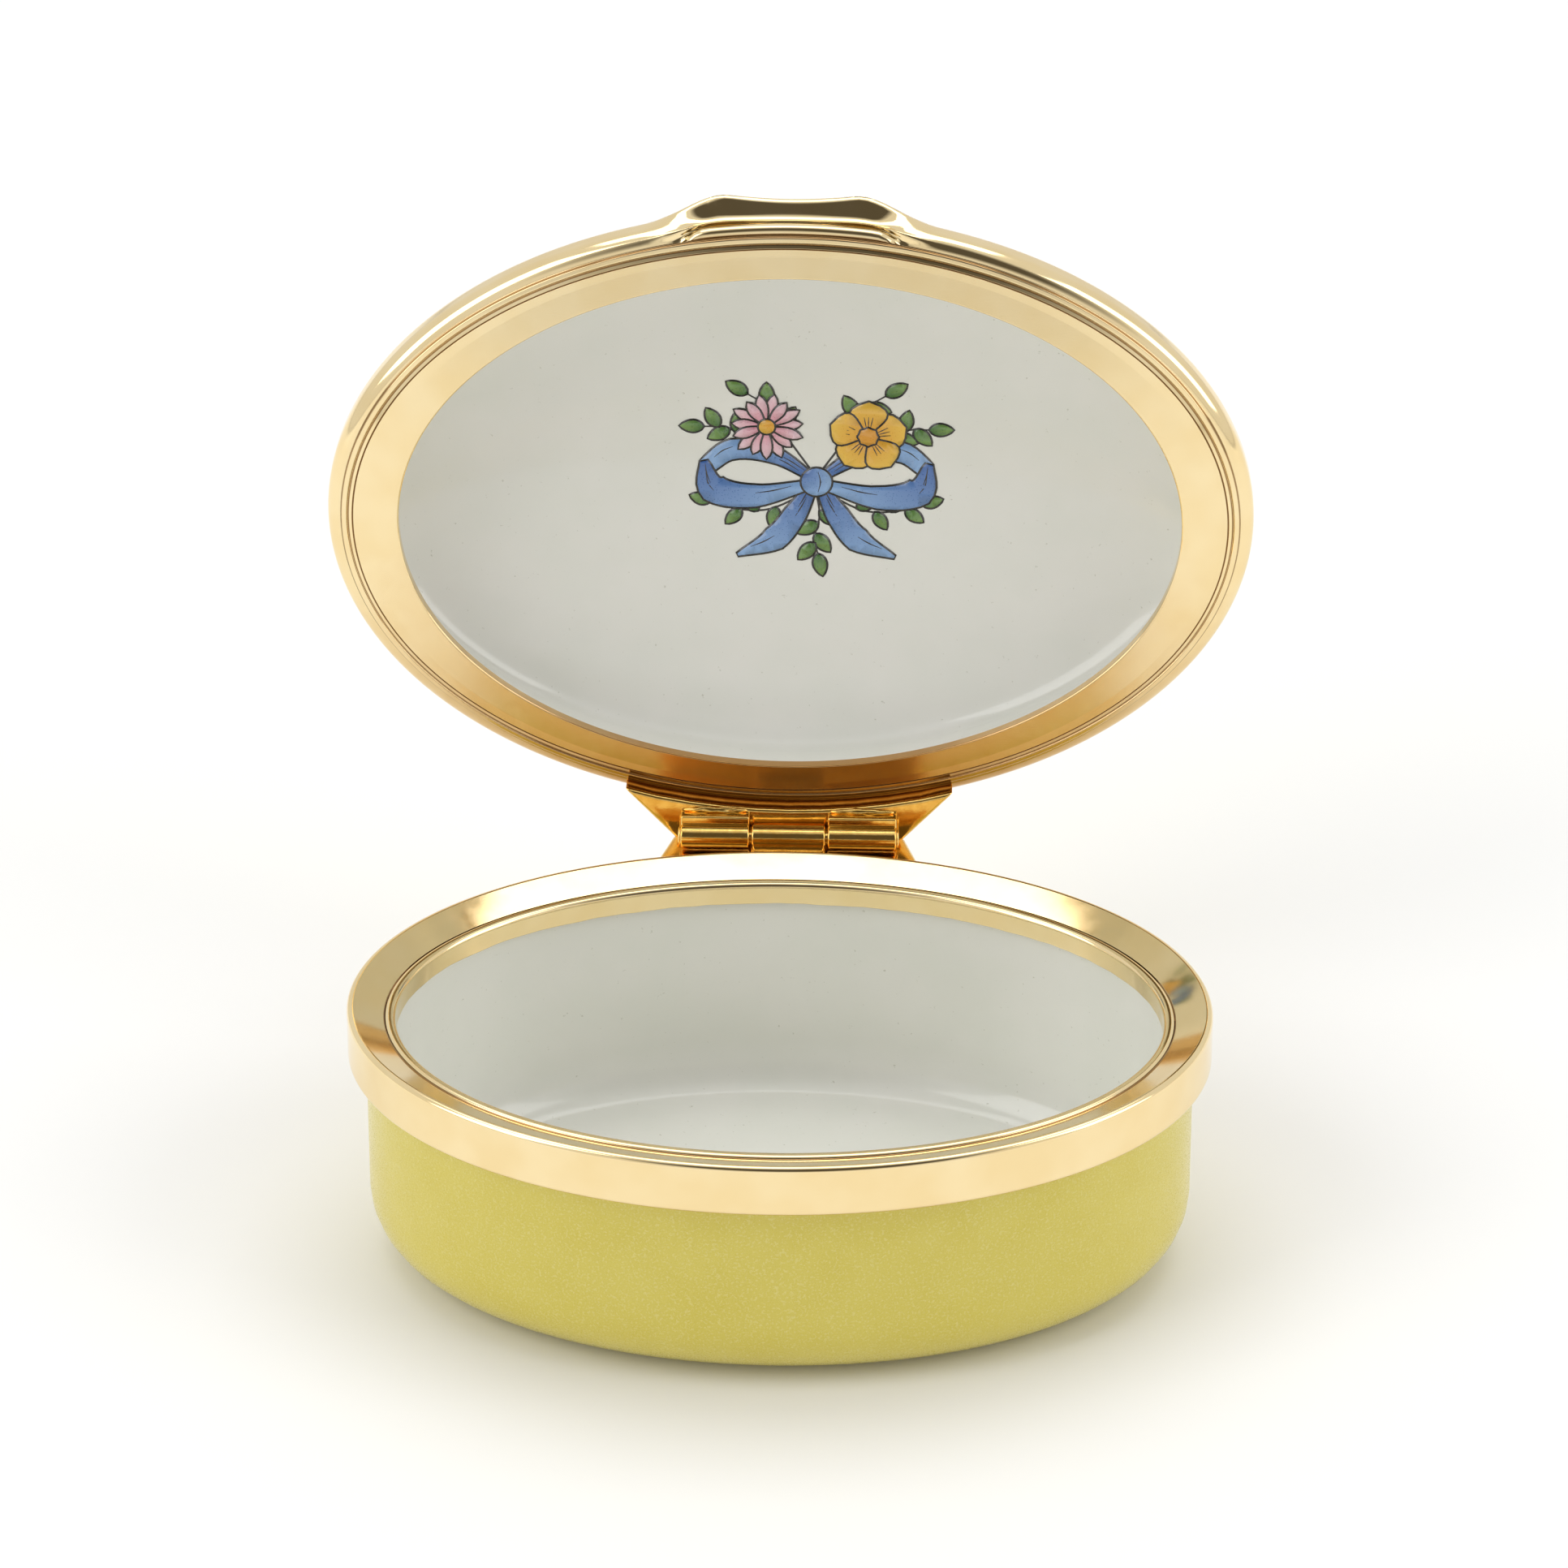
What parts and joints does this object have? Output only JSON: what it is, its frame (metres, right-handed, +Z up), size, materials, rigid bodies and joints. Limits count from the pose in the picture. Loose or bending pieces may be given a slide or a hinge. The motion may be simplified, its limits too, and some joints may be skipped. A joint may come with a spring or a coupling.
{
  "type": "pill box",
  "caption": "Small oval enamelled pill box with gilt bezels, a domed lid standing open on a rear three-knuckle hinge, and a two-lobed thumb piece.",
  "frame": {"origin": "centre of the flat underside of the base", "axes": "+Z up, -Y towards the thumb piece at the front, X along the box's length and the hinge line"},
  "size_m": [0.0572, 0.0491, 0.0574],
  "materials": {
    "coloured_enamel": "glossy yellow-green fired enamel with fine speckle",
    "white_enamel": "glossy off-white fired enamel",
    "copper": "pressed copper, covered on both sides",
    "gilt_brass": "gold plated, polished, fine turning lines on the flat faces",
    "gilt_hinge": "gold plated over soldered brass",
    "pin_brass": "drawn wire, ends spread",
    "bedding_cement": "matt"
  },
  "bodies": {
    "base": {"base_outer_enamel": "coloured_enamel", "base_copper_body": "copper", "base_inner_enamel": "white_enamel", "base_bezel": "gilt_brass", "base_cement": "bedding_cement", "base_hinge_plate": "gilt_hinge", "base_knuckle": "gilt_hinge"},
    "lid": {"lid_outer_enamel": "coloured_enamel", "lid_copper_dome": "copper", "lid_inner_enamel": "white_enamel", "lid_bezel": "gilt_brass", "lid_cement": "bedding_cement", "lid_hinge_plate": "gilt_hinge", "lid_knuckle_left": "gilt_hinge", "lid_knuckle_right": "gilt_hinge", "hinge_pin": "pin_brass"}
  },
  "joints": [
    {"name": "lid_hinge", "type": "hinge", "parent": "base", "child": "lid", "pos_m": [0, 0.021, 0.01584], "axis": [1, 0, 0], "range_deg": [0, 94]}
  ]
}
